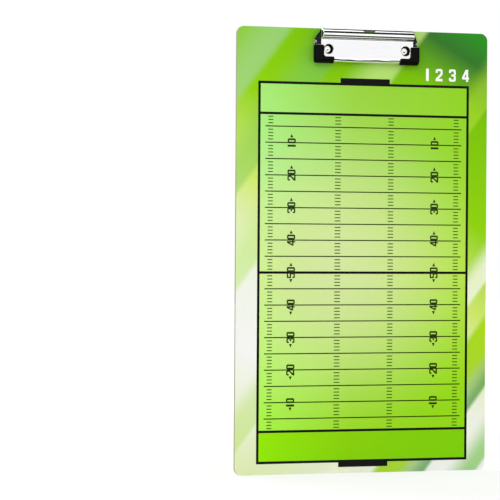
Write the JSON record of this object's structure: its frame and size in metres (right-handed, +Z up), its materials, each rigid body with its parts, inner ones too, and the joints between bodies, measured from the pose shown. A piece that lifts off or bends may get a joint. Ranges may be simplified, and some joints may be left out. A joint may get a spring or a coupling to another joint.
{
  "type": "tactics clipboard",
  "caption": "Double-sided dry-erase tactics clipboard: a rounded board with a chromed press-roll spring clip riveted to its top edge, soft corner grips and a hang slot in the roll.",
  "frame": {"origin": "centre of the hang slot in the clip's roll, midway through the sheet", "axes": "+Z up the board's length with the clip at the top, +X to the right as seen from the front, the front print faces -Y"},
  "size_m": [0.2286, 0.0173, 0.381],
  "materials": {
    "core_fibreboard": "pressed fibreboard with a trimmed grey-brown edge",
    "front_laminate": "glossy printed dry-erase film",
    "back_laminate": "glossy printed dry-erase film",
    "plated_steel": "zinc plated",
    "jaw_chrome": "bright chrome plating",
    "spring_steel": "oiled spring wire",
    "soft_vinyl": "dipped black vinyl, satin",
    "rivet_nickel": "bright nickel plating"
  },
  "bodies": {
    "board": {"board_core": "core_fibreboard", "front_sheet": "front_laminate", "back_sheet": "back_laminate", "clip_base": "plated_steel", "pivot_rod": "plated_steel", "left_spring": "spring_steel", "right_spring": "spring_steel", "left_rivet": "rivet_nickel", "right_rivet": "rivet_nickel"},
    "jaw": {"clip_jaw": "jaw_chrome", "left_grip": "soft_vinyl", "right_grip": "soft_vinyl"}
  },
  "joints": [
    {"name": "jaw_hinge", "type": "hinge", "parent": "board", "child": "jaw", "pos_m": [0, 0.00615, -0.01014], "axis": [-1, 0, 0], "range_deg": [0, 27], "stiffness_Nm_per_rad": 0.35, "springref_deg": -25.78, "deforming": ["left_spring", "right_spring"]}
  ]
}
